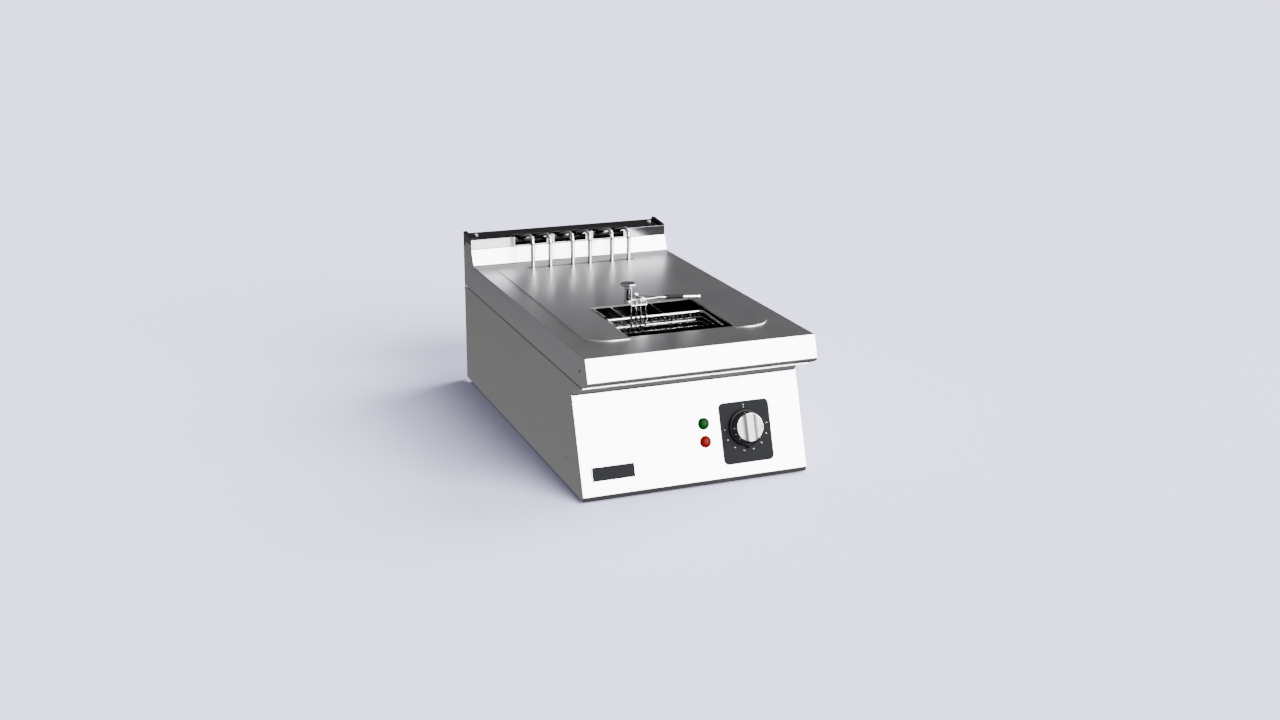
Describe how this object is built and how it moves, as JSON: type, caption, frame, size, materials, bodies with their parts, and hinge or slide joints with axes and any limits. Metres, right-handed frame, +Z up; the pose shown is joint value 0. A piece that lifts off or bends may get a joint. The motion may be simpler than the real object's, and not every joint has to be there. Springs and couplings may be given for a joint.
{
  "type": "countertop deep fryer",
  "caption": "Countertop electric deep fryer in stainless steel: pressed worktop with a square oil well, leaning control panel, hairpin heating elements, lift-out wire basket and folding handle.",
  "frame": {"origin": "centre of the bottom of the bounding box, on the surface that the feet stand on", "axes": "+Z up; the control panel faces -Y; +X is to the right of a person facing the panel"},
  "size_m": [0.4, 0.7156, 0.3114],
  "materials": {
    "worktop_steel": "satin",
    "panel_steel": "satin",
    "band_steel": "satin",
    "tank_steel": "satin",
    "black_enamel": "glossy enamel",
    "galvanised_steel": "dull",
    "element_steel": "polished",
    "wire_steel": "polished",
    "post_steel": "polished",
    "knob_chrome": "satin face, polished side",
    "black_plastic": "moulded",
    "plate_black": "satin",
    "green_lens": "translucent, moulded",
    "red_lens": "translucent, moulded",
    "pale_plastic": "moulded",
    "ceramic": "glazed",
    "brass": "machined",
    "copper": "drawn",
    "red_plastic": "moulded",
    "foot_rubber": "matte"
  },
  "bodies": {
    "housing": {"base_plate": "galvanised_steel", "bonding_stud": "brass", "bulb_gland": "brass", "cable_gland": "black_plastic", "contactor": "pale_plastic", "cover_screw_left": "galvanised_steel", "cover_screw_right": "galvanised_steel", "dial_plate": "plate_black", "element_plate": "black_enamel", "element_terminal_1": "ceramic", "element_terminal_2": "ceramic", "element_terminal_3": "ceramic", "flue_cover": "black_enamel", "foot_1": "foot_rubber", "foot_2": "foot_rubber", "foot_3": "foot_rubber", "foot_4": "foot_rubber", "front_panel": "panel_steel", "front_rail": "panel_steel", "gland_nut": "black_plastic", "hanger_post": "post_steel", "heating_element_1": "element_steel", "heating_element_2": "element_steel", "heating_element_3": "element_steel", "lamp_holder_green": "pale_plastic", "lamp_holder_red": "pale_plastic", "lamp_lens_green": "green_lens", "lamp_lens_red": "red_lens", "nameplate": "plate_black", "oil_tank": "tank_steel", "rear_panel": "galvanised_steel", "riser_face": "worktop_steel", "safety_thermostat": "black_plastic", "side_panel_left": "panel_steel", "side_panel_right": "panel_steel", "side_screw_left": "galvanised_steel", "side_screw_right": "galvanised_steel", "tank_grid": "wire_steel", "terminal_block": "pale_plastic", "thermostat": "black_plastic", "thermostat_bulb": "wire_steel", "thermostat_capillary": "copper", "vent_band": "band_steel", "worktop": "worktop_steel"},
    "control_knob": {"knob": "knob_chrome", "knob_skirt": "black_plastic", "knob_spindle": "galvanised_steel"},
    "basket": {"basket_mesh": "wire_steel", "basket_rim": "wire_steel", "basket_back_rod": "wire_steel", "basket_bracket": "wire_steel"},
    "folding_handle": {"basket_handle": "wire_steel", "handle_grip": "black_plastic", "handle_sleeve": "wire_steel"},
    "reset": {"reset_button": "red_plastic"}
  },
  "joints": [
    {"name": "knob_turn", "type": "hinge", "parent": "housing", "child": "control_knob", "pos_m": [0.096, -0.30952, 0.08627], "axis": [0, 0.9452, -0.3264], "range_deg": [0, 270]},
    {"name": "basket_lift", "type": "slide", "parent": "housing", "child": "basket", "axis": [0, 0, 1], "range_m": [0, 0.14]},
    {"name": "handle_fold", "type": "hinge", "parent": "basket", "child": "folding_handle", "pos_m": [-0.031, -0.1436, 0.28], "axis": [0, -1, 0], "range_deg": [0, 95]},
    {"name": "reset_push", "type": "slide", "parent": "housing", "child": "reset", "axis": [0, -1, 0], "range_m": [0, 0.0025], "stiffness_N_per_m": 800}
  ]
}
